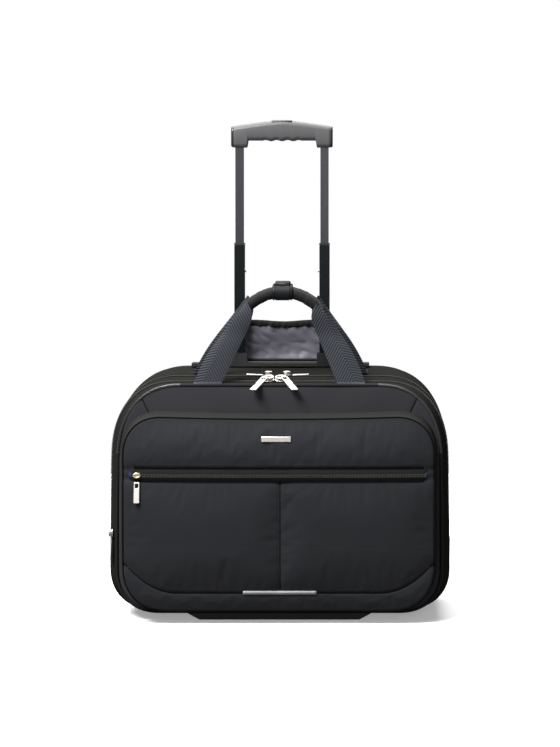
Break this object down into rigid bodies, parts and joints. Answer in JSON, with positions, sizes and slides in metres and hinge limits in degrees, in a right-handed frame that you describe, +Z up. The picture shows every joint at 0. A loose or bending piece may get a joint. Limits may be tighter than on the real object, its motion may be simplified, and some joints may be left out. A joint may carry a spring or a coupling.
{
  "type": "rolling pilot case",
  "caption": "Soft-sided rolling flight case with a raised front pocket, paired carry handles and a telescopic trolley.",
  "frame": {"origin": "centre of the case's footprint, on the surface that it stands on", "axes": "+Z up along the trolley, front with the pocket facing -Y, +X to the right seen from the front"},
  "size_m": [0.4339, 0.1977, 0.6512],
  "materials": {
    "nylon": "black ballistic nylon, slightly olive",
    "panel": "charcoal ballistic weave",
    "lining": "satin grey lining",
    "webbing": "slate herringbone webbing",
    "padding": "black ribbed padded sleeve",
    "plastic": "black, fine texture",
    "grip": "mid grey, soft touch",
    "inner_tube": "dark violet-grey anodised",
    "outer_tube": "black anodised",
    "metal": "satin nickel",
    "trim": "light grey reflective",
    "tyre": "matte black"
  },
  "bodies": {
    "case": {"back_panel": "nylon", "rear_gusset": "nylon", "well_divider": "lining", "base_gusset": "nylon", "base_front_panel": "nylon", "compartment_base": "panel", "reflective_strip": "trim", "front_foot": "plastic", "well_rim": "plastic", "tube_bracket": "plastic", "tube_sheath_left": "outer_tube", "tube_sheath_right": "outer_tube", "socket_bezel_left": "plastic", "socket_bezel_right": "plastic", "wheel_housing_left": "plastic", "wheel_housing_right": "plastic", "wheel_axle_left": "metal", "wheel_axle_right": "metal"},
    "middle_section": {"middle_gusset": "nylon", "middle_divider": "lining"},
    "front_lid": {"lid_gusset": "nylon", "lid_panel": "nylon", "compartment_upper": "panel", "pocket_zip_tape": "nylon", "badge_plate": "metal"},
    "front_handle": {"front_handle_webbing_left": "webbing", "front_handle_webbing_right": "webbing", "front_handle_pad": "padding", "front_handle_clasp": "plastic"},
    "rear_handle": {"rear_handle_webbing_left": "webbing", "rear_handle_webbing_right": "webbing", "rear_handle_pad": "padding", "rear_handle_clasp": "plastic"},
    "middle_stage": {"middle_tube_left": "outer_tube", "middle_tube_right": "outer_tube", "middle_collar_left": "plastic", "middle_collar_right": "plastic", "lock_stud_left": "metal", "lock_stud_right": "metal"},
    "inner_stage": {"inner_tube_left": "inner_tube", "inner_tube_right": "inner_tube", "grip_shell": "grip"},
    "button": {"grip_button": "grip"},
    "wheel_left": {"wheel_hub_left": "grip", "wheel_tyre_left": "tyre"},
    "wheel_right": {"wheel_hub_right": "grip", "wheel_tyre_right": "tyre"},
    "flap": {"cover_flap": "lining"},
    "pocket_slide": {"pocket_slider": "metal"},
    "pocket_tab": {"pocket_pull": "metal"},
    "side_slide": {"side_slider": "metal"},
    "side_tab": {"side_pull": "metal"},
    "main_slide_left": {"main_slider_left": "metal"},
    "main_tab_left": {"main_pull_left": "metal"},
    "rear_slide_left": {"rear_slider_left": "metal"},
    "rear_tab_left": {"rear_pull_left": "metal"},
    "main_slide_right": {"main_slider_right": "metal"},
    "main_tab_right": {"main_pull_right": "metal"},
    "rear_slide_right": {"rear_slider_right": "metal"},
    "rear_tab_right": {"rear_pull_right": "metal"}
  },
  "joints": [
    {"name": "middle_section_swing", "type": "hinge", "parent": "case", "child": "middle_section", "pos_m": [0, -0.094, 0.102], "axis": [1, 0, 0], "range_deg": [0, 30]},
    {"name": "front_lid_swing", "type": "hinge", "parent": "middle_section", "child": "front_lid", "pos_m": [0, -0.094, 0.102], "axis": [1, 0, 0], "range_deg": [0, 40]},
    {"name": "front_handle_fold", "type": "hinge", "parent": "front_lid", "child": "front_handle", "pos_m": [0, -0.054, 0.3055], "axis": [1, 0, 0], "range_deg": [0, 100]},
    {"name": "rear_handle_fold", "type": "hinge", "parent": "case", "child": "rear_handle", "pos_m": [0, 0.008, 0.312], "axis": [1, 0, 0], "range_deg": [-28, 0]},
    {"name": "middle_stage_slide", "type": "slide", "parent": "case", "child": "middle_stage", "axis": [0, 0, 1], "range_m": [-0.146, 0.097]},
    {"name": "inner_stage_slide", "type": "slide", "parent": "middle_stage", "child": "inner_stage", "axis": [0, 0, 1], "range_m": [-0.128, 0.11]},
    {"name": "release_button_press", "type": "slide", "parent": "inner_stage", "child": "button", "axis": [0, 0, -1], "range_m": [0, 0.004], "stiffness_N_per_m": 300},
    {"name": "wheel_left_spin", "type": "hinge", "parent": "case", "child": "wheel_left", "pos_m": [-0.178, 0.068, 0.03], "axis": [1, 0, 0], "continuous": true},
    {"name": "wheel_right_spin", "type": "hinge", "parent": "case", "child": "wheel_right", "pos_m": [0.178, 0.068, 0.03], "axis": [1, 0, 0], "continuous": true},
    {"name": "cover_flap_fold", "type": "hinge", "parent": "case", "child": "flap", "pos_m": [0, 0.082, 0.3232], "axis": [1, 0, 0], "range_deg": [-110, 0]},
    {"name": "pocket_zip_slide", "type": "slide", "parent": "front_lid", "child": "pocket_slide", "axis": [1, 0, 0], "range_m": [0, 0.355]},
    {"name": "pocket_tab_swing", "type": "hinge", "parent": "pocket_slide", "child": "pocket_tab", "pos_m": [-0.1795, -0.0979, 0.1826], "axis": [0, 1, 0], "range_deg": [-60, 60]},
    {"name": "side_zip_slide", "type": "slide", "parent": "front_lid", "child": "side_slide", "axis": [0, 0, 1], "range_m": [0, 0.09]},
    {"name": "side_tab_swing", "type": "hinge", "parent": "side_slide", "child": "side_tab", "pos_m": [-0.2171, -0.054, 0.1049], "axis": [0, 1, 0], "range_deg": [0, 90]},
    {"name": "main_zip_slide_left", "type": "slide", "parent": "front_lid", "child": "main_slide_left", "axis": [-1, 0, 0], "range_m": [0, 0.03]},
    {"name": "main_tab_lift_left", "type": "hinge", "parent": "main_slide_left", "child": "main_tab_left", "pos_m": [-0.0185, -0.048, 0.3088], "axis": [-0.7848, 0.6198, 0], "range_deg": [0, 90]},
    {"name": "rear_zip_slide_left", "type": "slide", "parent": "case", "child": "rear_slide_left", "axis": [-1, 0, 0], "range_m": [0, 0.03]},
    {"name": "rear_tab_lift_left", "type": "hinge", "parent": "rear_slide_left", "child": "rear_tab_left", "pos_m": [-0.0232, 0.004, 0.3114], "axis": [0, 1, 0], "range_deg": [0, 90]},
    {"name": "main_zip_slide_right", "type": "slide", "parent": "front_lid", "child": "main_slide_right", "axis": [1, 0, 0], "range_m": [0, 0.03]},
    {"name": "main_tab_lift_right", "type": "hinge", "parent": "main_slide_right", "child": "main_tab_right", "pos_m": [0.0055, -0.048, 0.3088], "axis": [-0.7848, -0.6198, 0], "range_deg": [0, 90]},
    {"name": "rear_zip_slide_right", "type": "slide", "parent": "case", "child": "rear_slide_right", "axis": [1, 0, 0], "range_m": [0, 0.03]},
    {"name": "rear_tab_lift_right", "type": "hinge", "parent": "rear_slide_right", "child": "rear_tab_right", "pos_m": [0.0152, 0.004, 0.3114], "axis": [0, -1, 0], "range_deg": [0, 90]}
  ]
}
